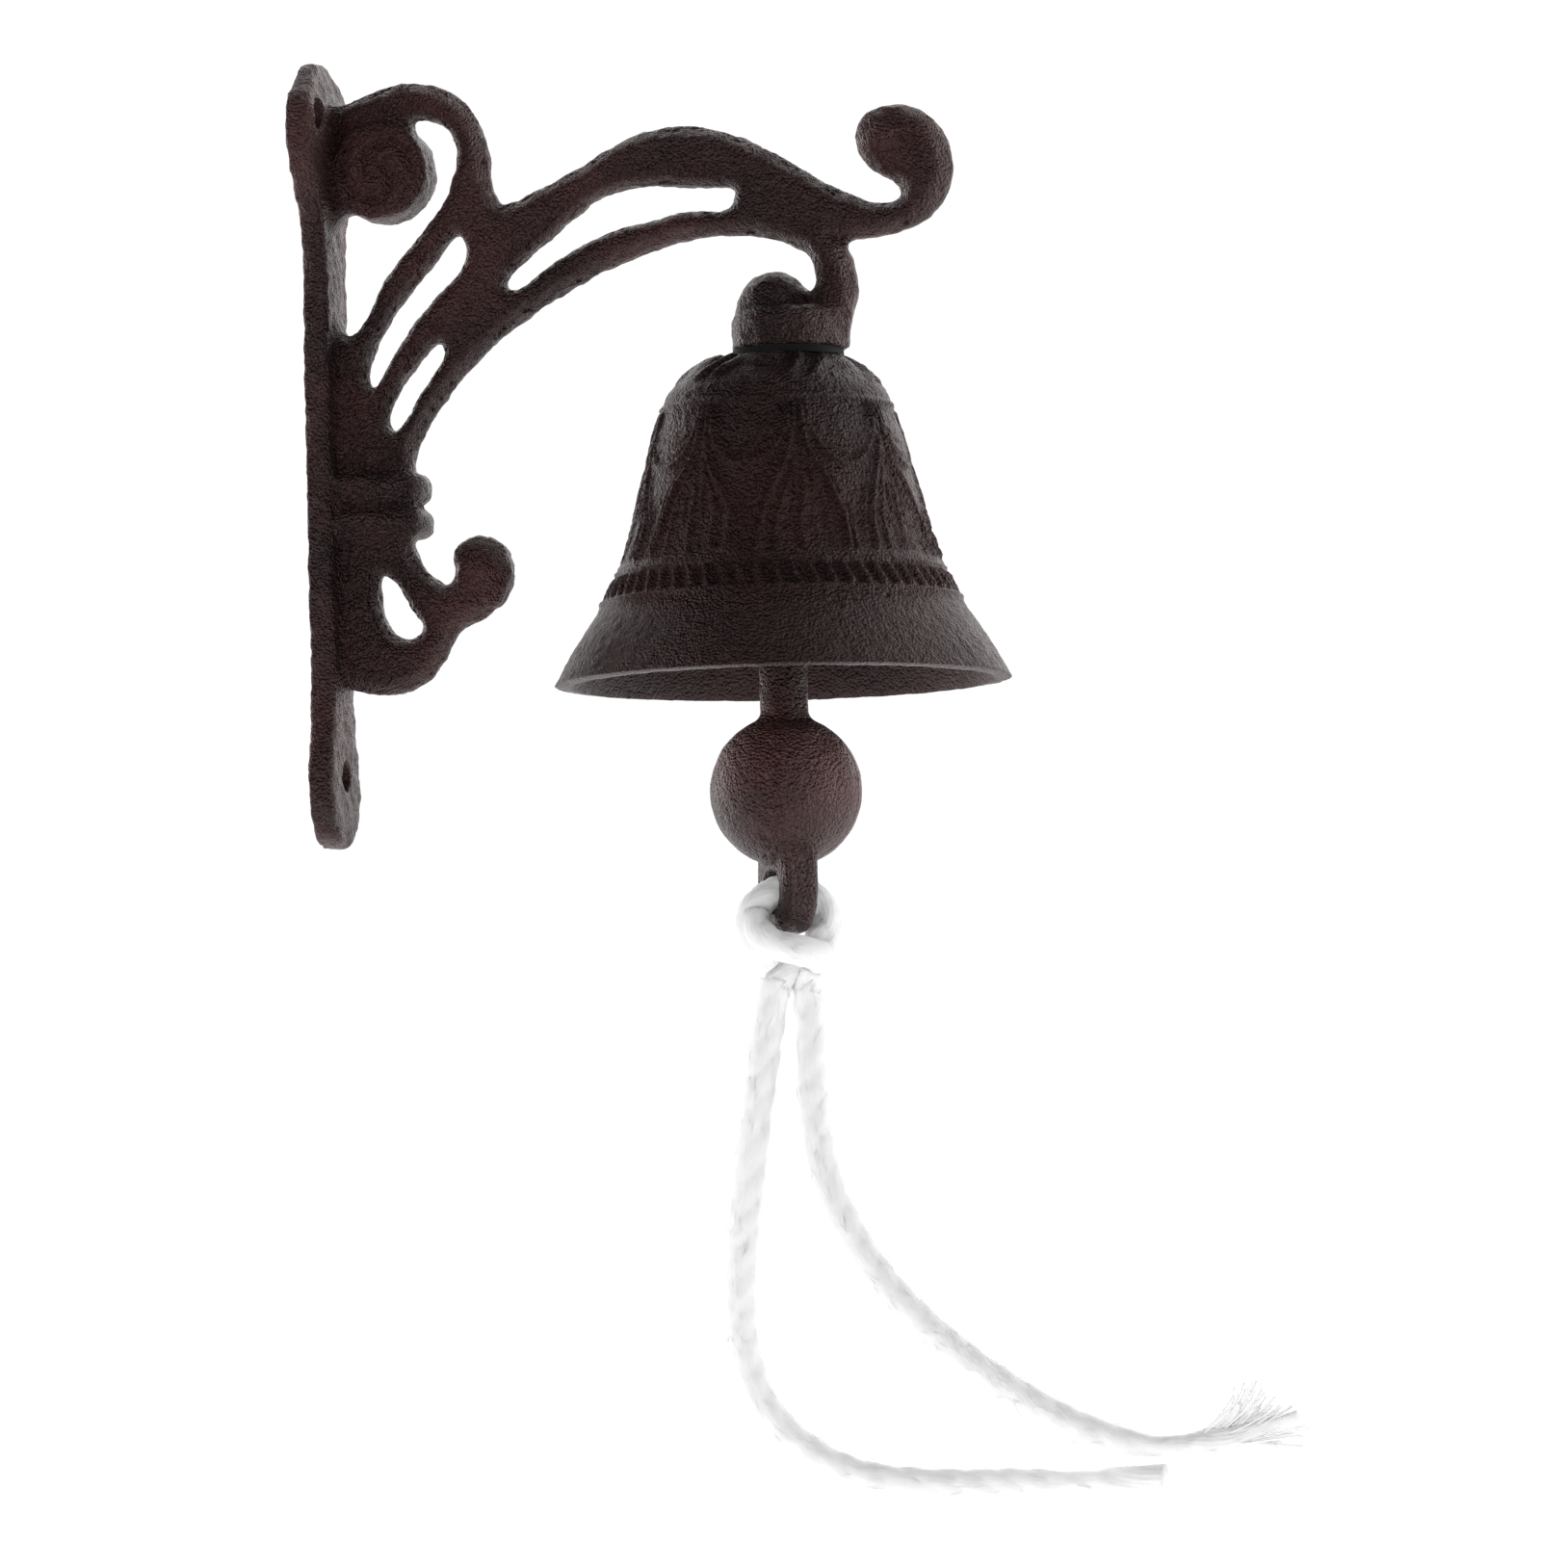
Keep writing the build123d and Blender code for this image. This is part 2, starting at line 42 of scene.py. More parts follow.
# The studio: a white sweep, a bright soft surround, and a camera a little below the bell, turned
# twelve degrees round from square on.
aim = Vector((0.0991, 0.0, -0.1435))
camera_turn, camera_rise, camera_roll = math.radians(12.0), math.radians(-4.0), math.radians(1.35)
camera_back = Vector((math.sin(camera_turn) * math.cos(camera_rise),
                      -math.cos(camera_turn) * math.cos(camera_rise), math.sin(camera_rise)))
level = (-camera_back).cross(Vector((0, 0, 1))).normalized()
upright = level.cross(-camera_back)
camera_right = level * math.cos(camera_roll) - upright * math.sin(camera_roll)
camera_up = level * math.sin(camera_roll) + upright * math.cos(camera_roll)
bpy.ops.object.camera_add()
camera = bpy.context.object
camera.name = "studio_camera"
camera_distance = 1.8
camera.matrix_world = (Matrix.Translation(aim + camera_back * camera_distance)
                       @ Matrix((camera_right, camera_up, camera_back)).transposed().to_4x4())
camera.data.sensor_width = 36.0
camera.data.lens = 199.0
camera.data.clip_end = 40.0
bpy.context.scene.camera = camera
bpy.context.scene.view_settings.view_transform = "Standard"

world = bpy.data.worlds.new("soft_surround")
world.use_nodes = True
bpy.context.scene.world = world
surround = world.node_tree.nodes["Background"]
surround.inputs["Color"].default_value = (1.0, 1.0, 1.0, 1.0)
surround.inputs["Strength"].default_value = 0.12
seen = world.node_tree.nodes.new("ShaderNodeBackground")
seen.inputs["Color"].default_value = (1.0, 1.0, 1.0, 1.0)
seen.inputs["Strength"].default_value = 1.05
ray = world.node_tree.nodes.new("ShaderNodeLightPath")
choose = world.node_tree.nodes.new("ShaderNodeMixShader")
world.node_tree.links.new(ray.outputs["Is Camera Ray"], choose.inputs[0])
world.node_tree.links.new(surround.outputs[0], choose.inputs[1])
world.node_tree.links.new(seen.outputs[0], choose.inputs[2])
world.node_tree.links.new(choose.outputs[0], world.node_tree.nodes["World Output"].inputs[0])

lit_place = Vector((0.1, 0.0, -0.12))
for name, place, size, power in (("left_panel", (-1.1, 0.55, 0.0), 1.3, 16.0),
                                 ("right_panel", (1.3, 0.45, 0.0), 1.3, 19.0),
                                 ("back_panel", (0.1, 1.1, 0.6), 1.6, 16.0),
                                 ("front_panel", (-0.3, -1.9, 0.2), 1.4, 1.2),
                                 ("low_panel", (-0.5, -1.5, -0.05), 0.4, 9.0)):
    bpy.ops.object.light_add(type="AREA", location=place)
    panel = bpy.context.object
    panel.name = name
    panel.data.size = size
    panel.data.energy = power
    panel.rotation_euler = (lit_place - Vector(place)).to_track_quat("-Z", "Y").to_euler()

# The floor ends three quarters of a metre in front of the bell, so that the iron mirrors a darker room.
floor_level = -0.2930
floor_size, floor_front = 16.0, -0.75
bpy.ops.mesh.primitive_plane_add(size=floor_size, location=(0.0, floor_front + floor_size / 2.0, floor_level))
floor = bpy.context.object
floor.name = "studio_floor"
white = bpy.data.materials.new("studio_white")
white.use_nodes = True
floor_surface = white.node_tree.nodes["Principled BSDF"]
floor_surface.inputs["Base Color"].default_value = (0.45, 0.45, 0.45, 1.0)
floor_surface.inputs["Roughness"].default_value = 0.9
floor_surface.inputs["Specular IOR Level"].default_value = 0.0
floor_surface.inputs["Emission Color"].default_value = (1.0, 1.0, 1.0, 1.0)
floor_surface.inputs["Emission Strength"].default_value = 0.95
floor.data.materials.append(white)


class Look:
    """A value on its way through a material. Sums and products of looks add Math nodes."""

    def __init__(self, tree, socket=None):
        self.tree = tree
        self.socket = socket

    def node(self, kind, settings, sockets, output=0):
        """Add a node: its type, its settings, then the values or links of its sockets."""
        made = self.tree.nodes.new(kind)
        for name, value in settings.items():
            if name == "stops":
                steps = made.color_ramp.elements
                while len(steps) < len(value):
                    steps.new(1.0)
                for step, (place, colour) in zip(steps, value):
                    step.position = place
                    step.color = colour
            else:
                setattr(made, name, value)
        for name, value in sockets.items():
            if isinstance(value, Look):
                self.tree.links.new(value.socket, made.inputs[name])
            else:
                made.inputs[name].default_value = value
        return Look(self.tree, made.outputs[output])

    def maths(self, operation, first, second):
        return self.node("ShaderNodeMath", {"operation": operation}, {0: first, 1: second})

    def __add__(self, other):
        return self.maths("ADD", self, other)

    def __radd__(self, other):
        return self.maths("ADD", other, self)

    def __rsub__(self, other):
        return self.maths("SUBTRACT", other, self)

    def __mul__(self, other):
        return self.maths("MULTIPLY", self, other)

    def __rmul__(self, other):
        return self.maths("MULTIPLY", other, self)


def centre_line(route, step):
    """The smooth line of a rope along its route, as evenly spaced points."""
    curve = bpy.data.curves.new("rope_line", "CURVE")
    curve.dimensions = "3D"
    curve.resolution_u = 16
    spline = curve.splines.new("NURBS")
    spline.points.add(len(route) - 1)
    for point, place in zip(spline.points, route):
        point.co = (place[0], place[1], place[2], 1.0)
    spline.order_u = 3
    spline.use_endpoint_u = True
    holder = bpy.data.objects.new("rope_line", curve)
    bpy.context.scene.collection.objects.link(holder)
    bpy.context.view_layer.update()
    lined = bpy.data.meshes.new_from_object(holder)
    places = np.array([vertex.co[:] for vertex in lined.vertices])
    bpy.data.objects.remove(holder)
    bpy.data.curves.remove(curve)
    bpy.data.meshes.remove(lined)
    run = np.concatenate([[0.0], np.cumsum(np.linalg.norm(np.diff(places, axis=0), axis=1))])
    wanted = np.linspace(0.0, run[-1], max(8, int(run[-1] / step)))
    return np.stack([np.interp(wanted, run, places[:, axis]) for axis in range(3)], axis=1), wanted


def line_frames(line):
    """Two directions square to the line at each point, carried along it without twist."""
    along = np.gradient(line, axis=0)
    along /= np.linalg.norm(along, axis=1)[:, None]
    side = np.cross(along[0], (0.0, 1.0, 0.3))
    side /= np.linalg.norm(side)
    sides = []
    for direction in along:
        side = side - direction * side.dot(direction)
        side = side / np.linalg.norm(side)
        sides.append(side)
    sides = np.array(sides)
    return sides, np.cross(along, sides)


def grid_mesh(name, grids):
    """One mesh of closed tubes. Each is its run along its line and an array of rings of places."""
    places, faces, marks = [], [], []
    for run, rings in grids:
        base = len(places)
        count, corners = rings.shape[0], rings.shape[1]
        places.extend(map(tuple, rings.reshape(-1, 3)))
        for ring in range(count - 1):
            for corner in range(corners):
                after = (corner + 1) % corners
                low, high = base + ring * corners, base + (ring + 1) * corners
                faces.append((low + corner, low + after, high + after, high + corner))
                near, far = corner / corners, (corner + 1) / corners
                before, beyond = run[ring], run[ring + 1]
                marks.extend([(before, near), (before, far), (beyond, far), (beyond, near)])
        faces.append(tuple(base + corner for corner in reversed(range(corners))))
        marks.extend([(run[0], 0.5)] * corners)
        faces.append(tuple(base + (count - 1) * corners + corner for corner in range(corners)))
        marks.extend([(run[-1], 0.5)] * corners)
    mesh = bpy.data.meshes.new(name)
    mesh.from_pydata(places, [], faces)
    layer = mesh.uv_layers.new(name="yarn_run")
    layer.data.foreach_set("uv", np.array(marks).ravel())
    mesh.shade_smooth()
    piece = bpy.data.objects.new(name, mesh)
    bpy.context.scene.collection.objects.link(piece)
    return piece


def round_directions(line, corners):
    """The angles round a tube and the directions square to its line at each of them."""
    side, other = line_frames(line)
    across = np.arange(corners) * 2.0 * math.pi / corners
    ring = (side[:, None, :] * np.cos(across)[None, :, None]
            + other[:, None, :] * np.sin(across)[None, :, None])
    return across, ring


def rope_skin(line, run, size, twist, start=0.0, corners=84):
    """The outside of a soft rope: three shallow strands wound round, streaked by their fibres."""
    strand_pitch, lobe_out, lobe_round = 0.0215, 0.00052, 0.00270
    fibre_ridges, fibre_height, lump_height = 18.0, 0.00009, 0.00017
    across, ring = round_directions(line, corners)
    third = 2.0 * math.pi / 3.0
    turn = start + np.cumsum(twist) * (run[1] - run[0]) * 2.0 * math.pi / strand_pitch
    sway = 0.25 * np.sin(run / 0.013 + start) + 0.15 * np.sin(run / 0.0047 + 2.0 * start)
    from_lobe = (across[None, :] - (turn + sway)[:, None]) % third
    from_lobe = np.where(from_lobe > third / 2.0, from_lobe - third, from_lobe)
    reach = lobe_out * np.cos(from_lobe) + np.sqrt(lobe_round ** 2 - (lobe_out * np.sin(from_lobe)) ** 2)
    round_lobe = np.arctan2(reach * np.sin(from_lobe), reach * np.cos(from_lobe) - lobe_out)
    drift = (0.9 * np.sin(run / 0.0061 + start)[:, None]
             + 0.7 * np.sin((run / 0.0027)[:, None] + across[None, :] * 3.0))
    yarn = np.cos(fibre_ridges * (across[None, :] - 0.55 * turn[:, None]) + drift)
    reach = (reach + fibre_height * yarn + 0.00003 * np.cos(2.5 * round_lobe)) * size[:, None]
    skin = line[:, None, :] + ring * reach[:, :, None]
    lumps = np.array([noise.noise(Vector(place) * 420.0) + 0.6 * noise.noise(Vector(place) * 1100.0)
                      for place in skin.reshape(-1, 3)]).reshape(reach.shape)
    return run, line[:, None, :] + ring * (reach + lump_height * lumps)[:, :, None]


def thread(path, radius, corners):
    """One thin cotton thread along a path, thinner towards its tip."""
    ring = round_directions(path, corners)[1]
    run = np.concatenate([[0.0], np.cumsum(np.linalg.norm(np.diff(path, axis=0), axis=1))])
    return run, path[:, None, :] + ring * (radius * np.linspace(1.0, 0.55, len(path)))[:, None, None]


def loose_fibres(line, size, count, seed):
    """Fibres that have worked loose and curl a little way off the rope."""
    fibre_root, fibre_radius = 0.0027, 0.000055
    shake = random.Random(seed)
    side, other = line_frames(line)
    fibres = []
    for fibre in range(count):
        at = shake.randrange(2, len(line) - 8)
        angle = shake.uniform(0.0, 2.0 * math.pi)
        out = side[at] * math.cos(angle) + other[at] * math.sin(angle)
        round_about = np.cross(out, line[at + 1] - line[at])
        round_about /= np.linalg.norm(round_about)
        ahead = line[at + 6] - line[at]
        ahead = ahead / np.linalg.norm(ahead) * shake.choice((-1.0, 1.0))
        steps = np.linspace(0.0, 1.0, 6)[:, None]
        length = shake.uniform(0.0015, 0.0042)
        lift = shake.uniform(0.2, 0.7)
        lean = shake.uniform(-0.7, 0.7)
        path = (line[at] + out * fibre_root * size[at] + ahead * steps * length
                + round_about * steps * length * lean + out * (steps - 0.55 * steps ** 2) * length * lift)
        fibres.append(thread(path, fibre_radius, 3))
    return fibres


cotton = bpy.data.materials.new("cotton_rope")
cotton.use_nodes = True
cotton_surface = cotton.node_tree.nodes["Principled BSDF"]
cotton_start = Look(cotton.node_tree)
cotton_run = cotton_start.node("ShaderNodeUVMap", {"uv_map": "yarn_run"}, {})
cotton_place = cotton_start.node("ShaderNodeTexCoord", {}, {}, "Object")
fibre_grid = cotton_start.node("ShaderNodeMapping", {}, {"Vector": cotton_run, "Scale": (150.0, 46.0, 1.0)})
fibres = cotton_start.node("ShaderNodeTexNoise", {}, {"Vector": fibre_grid, "Scale": 1.0, "Detail": 3.0})
fluff = cotton_start.node("ShaderNodeTexNoise", {}, {"Vector": cotton_place, "Scale": 420.0, "Detail": 4.0})
cotton_tone = cotton_start.node("ShaderNodeMix", {"data_type": "RGBA"},
                                {0: fluff * 0.5 + fibres * 0.5, 6: (0.75, 0.75, 0.75, 1.0),
                                 7: (0.93, 0.93, 0.93, 1.0)}, 2)
cotton.node_tree.links.new(cotton_tone.socket, cotton_surface.inputs["Base Color"])
cotton_bump = cotton_start.node("ShaderNodeBump", {},
                                {"Height": fibres * 0.7 + fluff * 0.5, "Strength": 0.7, "Distance": 0.00028})
cotton.node_tree.links.new(cotton_bump.socket, cotton_surface.inputs["Normal"])
cotton_surface.inputs["Roughness"].default_value = 0.92
cotton_surface.inputs["Specular IOR Level"].default_value = 0.2
cotton_surface.inputs["Sheen Weight"].default_value = 0.8
cotton_surface.inputs["Subsurface Weight"].default_value = 0.6
cotton_surface.inputs["Subsurface Radius"].default_value = (1.0, 1.0, 1.0)
cotton_surface.inputs["Subsurface Scale"].default_value = 0.002

# The single threads of the frayed end get a whiter cotton than the rope: painted light, standing in for the
# light that gets between them.
threads_painted_lighter = bpy.data.materials.new("cotton_threads_painted_lighter")
threads_painted_lighter.use_nodes = True
thread_surface = threads_painted_lighter.node_tree.nodes["Principled BSDF"]
thread_surface.inputs["Base Color"].default_value = (0.95, 0.95, 0.95, 1.0)
thread_surface.inputs["Roughness"].default_value = 0.95
thread_surface.inputs["Specular IOR Level"].default_value = 0.1
thread_surface.inputs["Sheen Weight"].default_value = 0.8

# The rope's routes, in millimetres: the two tails, the loop through the eye, and the knot's two parts.
left_route = [(96.7, -2.0, -184.2), (95.2, -2.4, -193.5), (93.0, -2.4, -206.0), (90.6, -2.2, -222.0),
              (88.2, -1.8, -239.0), (87.2, -1.2, -255.0), (89.6, -0.4, -269.5), (98.0, 0.6, -280.6),
              (111.5, 1.8, -287.6), (128.0, 3.2, -289.3), (145.0, 3.0, -289.25), (161.0, 1.2, -289.25),
              (175.5, 0.2, -289.25)]
right_route = [(102.6, 2.0, -184.2), (103.3, 1.2, -195.0), (103.4, 0.2, -209.0), (105.4, -0.4, -224.5),
               (111.6, -0.8, -239.0), (121.6, -1.2, -252.0), (133.8, -1.6, -263.0), (147.0, -1.4, -272.4),
               (159.6, -0.6, -279.2), (170.8, 0.3, -282.3), (182.0, 0.8, -282.4), (192.8, 0.2, -280.2),
               (203.2, -0.6, -276.6)]
eye_turn = math.radians(31.0)
loop_route = [(99.5 + s * math.cos(eye_turn), s * math.sin(eye_turn), z)
              for s, z in ((-4.2, -181.5), (-8.6, -175.8), (-8.3, -169.6), (-3.4, -165.7), (3.4, -165.7),
                           (8.3, -169.6), (8.6, -175.8), (4.2, -181.5))]
knot_route = [(93.4, -4.4, -170.5), (93.4, -6.0, -173.8), (96.8, -7.4, -176.6), (100.9, -8.0, -178.2),
              (104.7, -6.6, -178.9), (106.6, -2.4, -179.6), (104.6, 1.6, -180.4), (100.6, 2.0, -181.4),
              (97.8, 0.0, -182.8), (96.6, -1.9, -186.4)]
cross_route = [(105.9, 4.2, -171.0), (105.2, 3.4, -175.8), (103.6, 1.6, -180.4), (102.6, 1.6, -186.6)]


def in_metres(route):
    """The places of a route that is given in millimetres."""
    return [(x / 1000.0, y / 1000.0, z / 1000.0) for x, y, z in route]


loop_line, loop_run = centre_line(in_metres(loop_route), 0.0006)
even = np.ones(len(loop_run))
rope_loop = grid_mesh("rope_loop_yarns", [rope_skin(loop_line, loop_run, even, even, 1.0)])
knot_line, knot_run = centre_line(in_metres(knot_route), 0.0006)
cross_line, cross_run = centre_line(in_metres(cross_route), 0.0006)
knot_even, cross_even = np.ones(len(knot_run)), np.ones(len(cross_run))
rope_knot = grid_mesh("rope_knot_yarns",
                      [rope_skin(knot_line, knot_run, knot_even, knot_even, 0.4),
                       rope_skin(cross_line, cross_run, cross_even * 0.96, cross_even, 2.0)]
                      + loose_fibres(knot_line, knot_even, 70, 41))

# The tails. Towards its cut end the left one opens a little, and the right one is gathered, then frayed.
left_line, left_run = centre_line(in_metres(left_route), 0.0008)
left_end = left_run[-1] - left_run
left_flare = 0.12 * np.clip(1.0 - left_end / 0.009, 0, 1)
left_waist = 0.32 * np.exp(-((left_end - 0.019) / 0.007) ** 2)
left_size = 1.0 + left_flare - left_waist
left_twist = np.clip(left_end / 0.016, 0.05, 1.0)
left_tail = grid_mesh("rope_left_yarns", [rope_skin(left_line, left_run, left_size, left_twist, 0.9)]
                      + loose_fibres(left_line, left_size, 300, 42))

frayed_length = 0.0185
right_line, right_run = centre_line(in_metres(right_route), 0.0008)
right_end = right_run[-1] - right_run
right_waist = 0.34 * np.exp(-((right_end - 0.029) / 0.008) ** 2)
right_thinning = 0.66 * np.clip(1.0 - (right_end - 0.005) / 0.014, 0, 1)
right_size = 1.0 - right_waist - right_thinning
right_twist = np.clip((right_end - 0.012) / 0.016, 0.05, 1.0)
right_tail = grid_mesh("rope_right_yarns", [rope_skin(right_line, right_run, right_size, right_twist, 0.2)]
                       + loose_fibres(right_line, right_size, 280, 43))

# The frayed fan: five clumps, each a thick core and single threads, by rise in degrees, length and count.
clumps = ((48.0, 0.0128, 16), (35.0, 0.0140, 14), (23.0, 0.0165, 22), (9.0, 0.0190, 16), (1.0, 0.0172, 12))
core_radius, single_radius = 0.00105, 0.00024
fray_across = np.array([-math.sin(0.35), 0, math.cos(0.35)])
fray = random.Random(31)
fray_at = np.argmin(np.abs(right_end - frayed_length))
fray_start = right_line[fray_at] - np.array([0.0, 0.0, 0.0006])
fray_along = right_line[fray_at + 2] - right_line[fray_at - 2]
fray_along /= np.linalg.norm(fray_along)
threads = []
for rise, length, number in clumps:
    for strand in range(number):
        core = strand == 0
        spread = 0.0 if core else 1.0
        angle = math.radians(rise + spread * fray.gauss(0.0, 3.2))
        start = (fray_start + fray_along * fray.uniform(-0.003, 0.001)
                 + np.array([0, fray.uniform(-0.0016, 0.0016) * spread, 0])
                 + fray_across * (0.00004 * (rise - 22.0) + fray.uniform(-0.0005, 0.0005)))
        goal = np.array([math.cos(angle), fray.uniform(-0.12, 0.12), math.sin(angle)])
        goal = goal * (length * 0.86 if core else length + fray.gauss(0.0, 0.0011))
        steps = np.linspace(0.0, 1.0, 12)[:, None]
        wave = np.array([0.0, fray.uniform(-0.0006, 0.0006), fray.uniform(-0.0006, 0.0006)]) * spread
        path = (start + fray_along * steps * (1.0 - steps) * length * 0.5 + goal * steps
                + wave * np.sin(steps * 5.0))
        threads.append(thread(path, core_radius if core else single_radius, 10 if core else 5))
frayed_end = grid_mesh("rope_frayed_end", threads)

for piece, node in ((rope_loop, "rope_loop"), (rope_knot, "rope_knot"), (left_tail, "rope_left_tail"),
                    (right_tail, "rope_right_tail"), (frayed_end, None)):
    piece.data.materials.append(cotton if node else threads_painted_lighter)
    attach(piece, "clapper")
    if node:
        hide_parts(node)


# The bracket: one sand-cast iron piece with its plate, scrolls, rosette, collar and lug, fettled
# roughly by hand and painted dark brown-black. The sand leaves a pebbly skin and soft corners.
iron_black = (0.0042, 0.0019, 0.0021, 1.0)
iron_brown = (0.035, 0.0124, 0.0116, 1.0)


def painted_iron(name, grain, brown_and_painted_light, shine):
    """Dark paint over a sand-cast skin. grain is the pebbles' size; the third argument scales the paint's
    brown for each part, partly as painted light on the parts that catch more light.
    """
    brown_with_painted_light = tuple(channel * brown_and_painted_light for channel in iron_brown[:3]) + (1.0,)
    material = bpy.data.materials.new(name)
    material.use_nodes = True
    surface = material.node_tree.nodes["Principled BSDF"]
    start = Look(material.node_tree)
    place = start.node("ShaderNodeTexCoord", {}, {}, "Object")
    patches = start.node("ShaderNodeTexNoise", {}, {"Vector": place, "Scale": 26.0, "Detail": 4.0})
    specks = start.node("ShaderNodeTexNoise", {}, {"Vector": place, "Scale": 0.9 / grain, "Detail": 3.0})
    fine = start.node("ShaderNodeTexNoise", {}, {"Vector": place, "Scale": 2.6 / grain, "Detail": 2.0})
    pebbles = start.node("ShaderNodeTexVoronoi", {"feature": "SMOOTH_F1"},
                         {"Vector": place, "Scale": 1.0 / grain, "Smoothness": 0.5})
    skin = start.node("ShaderNodeTexNoise", {}, {"Vector": place, "Scale": 0.3 / grain, "Detail": 4.0})
    amount = start.node("ShaderNodeValToRGB", {"stops": [(0.43, (0, 0, 0, 1)), (0.58, (1, 1, 1, 1))]},
                        {"Fac": patches * 0.56 + specks * 0.32 + fine * 0.12})
    colour = start.node("ShaderNodeMix", {"data_type": "RGBA"},
                        {0: amount, 6: iron_black, 7: brown_with_painted_light}, 2)
    material.node_tree.links.new(colour.socket, surface.inputs["Base Color"])
    gloss = 0.18 + 0.30 * specks + 0.14 * patches
    material.node_tree.links.new(gloss.socket, surface.inputs["Roughness"])
    surface.inputs["Specular Tint"].default_value = (1.0, 0.70, 0.69, 1.0)
    surface.inputs["Specular IOR Level"].default_value = shine
    height = (1.0 - pebbles) * 0.9 + specks * 0.8 + skin * 1.2 + fine * 0.3
    bump = start.node("ShaderNodeBump", {}, {"Height": height, "Strength": 1.0, "Distance": grain * 1.6})
    material.node_tree.links.new(bump.socket, surface.inputs["Normal"])
    return material


def read_places(mesh):
    """The places and normals of a mesh's vertices, as arrays."""
    places = np.zeros(len(mesh.vertices) * 3)
    mesh.vertices.foreach_get("co", places)
    return places.reshape(-1, 3), np.array([vertex.normal[:] for vertex in mesh.vertices])


def write_places(mesh, places):
    """Put a mesh's vertices at new places."""
    mesh.vertices.foreach_set("co", places.ravel())
    mesh.update()


def bumps(places, scale):
    """Soft random lumps at places, with about scale of them to the metre."""
    return np.array([noise.noise(Vector(place) * scale) for place in places])


def casting(name, node, voxel, rounds, wobble):
    """A cast piece: its drawn shape, rounded over and given the unevenness of a sand mould."""
    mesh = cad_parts[node].data.copy()
    piece = bpy.data.objects.new(name, mesh)
    bpy.context.scene.collection.objects.link(piece)
    bpy.ops.object.select_all(action="DESELECT")
    piece.select_set(True)
    bpy.context.view_layer.objects.active = piece
    bpy.ops.object.mode_set(mode="EDIT")
    bpy.ops.mesh.select_all(action="SELECT")
    bpy.ops.mesh.remove_doubles(threshold=0.00001)
    bpy.ops.mesh.normals_make_consistent(inside=False)
    bpy.ops.object.mode_set(mode="OBJECT")
    piece.data.remesh_voxel_size = voxel
    bpy.ops.object.voxel_remesh()
    smooth = piece.modifiers.new("rounded", "SMOOTH")
    smooth.factor = 0.5
    smooth.iterations = rounds
    bpy.ops.object.modifier_apply(modifier="rounded")
    places, normals = read_places(piece.data)
    push = np.array([noise.fractal(Vector(place) * 260.0, 0.7, 2.0, 3) for place in places]) * wobble
    places += normals * push[:, None]
    write_places(piece.data, places)
    piece.data.shade_smooth()
    return piece


# The bracket's paint gets 30 percent more brown: partly painted light, lifting it towards the light it
# catches.
bracket_iron = painted_iron("bracket_iron", 0.00058, 1.3, 0.58)
cast_bracket = casting("cast_bracket", "bracket", 0.0008, 9, 0.00036)
places, normals = read_places(cast_bracket.data)

# The scrolls' bars are round-backed: their faces fall away towards the outline and the windows.
# The rosette, tail ball, tip ball, lug and collar keep their own forms. Each of them is given here by
# its distance from the wall, its level and its radius.
bar_half, bar_sink, bar_shoulder = 0.0045, 0.0021, 0.0038
plate_front, plate_blend, piece_blend = 0.0056, 0.0026, 0.002
own_forms = ((0.016, -0.0113, 0.0112), (0.036, -0.096, 0.0068), (0.1242, -0.0104, 0.0068),
             (0.1027, -0.049, 0.0145), (0.0150, -0.0816, 0.0125))
outline = places[np.abs(normals[:, 1]) < 0.35]
outline_tree = kdtree.KDTree(len(outline))
for index, place in enumerate(outline):
    outline_tree.insert((place[0], 0.0, place[2]), index)
outline_tree.balance()
from_edge = np.array([outline_tree.find((place[0], 0.0, place[2]))[2] for place in places])
sink = bar_sink * (1.0 - np.sqrt(1.0 - np.clip(1.0 - from_edge / bar_shoulder, 0, 1) ** 2))
bar = np.clip((places[:, 0] - plate_front) / plate_blend, 0, 1)
for x, z, size in own_forms:
    bar *= np.clip((np.hypot(places[:, 0] - x, places[:, 2] - z) - size) / piece_blend, 0, 1)
places[:, 1] *= 1.0 - bar * sink / bar_half
places[:, 0] = np.maximum(places[:, 0], 0.0)

# The rosette's two faces carry a worn spiral of lumps.
rosette_reach, rosette_level = 0.016, -0.0113
rosette_radius, rosette_edge, rosette_lump = 0.0088, 0.0010, 0.00060
rosette_x, rosette_z = places[:, 0] - rosette_reach, places[:, 2] - rosette_level
rosette_out, rosette_turn = np.hypot(rosette_x, rosette_z), np.arctan2(rosette_z, rosette_x)
lumps = np.cos(2.0 * rosette_turn + rosette_out / 0.00085) + 1.3 * bumps(places, 520.0)
lumps *= np.clip((rosette_radius - rosette_out) / rosette_edge, 0, 1) * (np.abs(places[:, 1]) > bar_half)
places[:, 1] += np.sign(places[:, 1]) * lumps * rosette_lump
write_places(cast_bracket.data, places)
cast_bracket.data.materials.clear()
cast_bracket.data.materials.append(bracket_iron)
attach(cast_bracket, "bracket_and_bell")
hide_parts("bracket")


